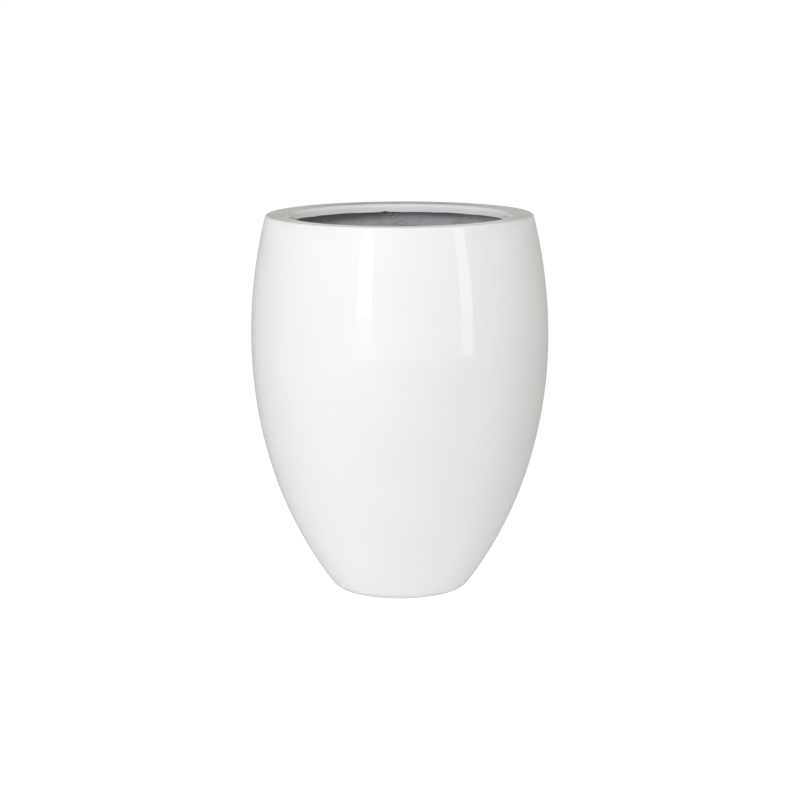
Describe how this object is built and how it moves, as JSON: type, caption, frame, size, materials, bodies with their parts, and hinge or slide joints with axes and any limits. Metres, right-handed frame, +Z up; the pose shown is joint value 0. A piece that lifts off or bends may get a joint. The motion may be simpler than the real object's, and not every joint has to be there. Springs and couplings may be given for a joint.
{
  "type": "floor planter",
  "caption": "Tall bellied floor planter with a turned-in flat rim, a gloss white moulded shell, a grey laminate lining, rubber foot pads and a lift-out drain plug.",
  "frame": {"origin": "on the floor, under the middle of the foot", "axes": "+Z up along the planter's axis, +X through the middle of one foot pad and along the width of the plug's pull tab"},
  "size_m": [0.5089, 0.509, 0.65],
  "materials": {
    "white_lacquer": "gloss",
    "grey_laminate": "satin",
    "black_rubber": "matte"
  },
  "bodies": {
    "planter": {"outer_shell": "white_lacquer", "rim_ring": "white_lacquer", "inner_laminate": "grey_laminate", "foot_pads": "black_rubber"},
    "plug": {"drain_plug": "black_rubber"}
  },
  "joints": [
    {"name": "plug_lift", "type": "slide", "parent": "planter", "child": "plug", "axis": [0, 0, 1], "range_m": [0, 0.66]}
  ]
}
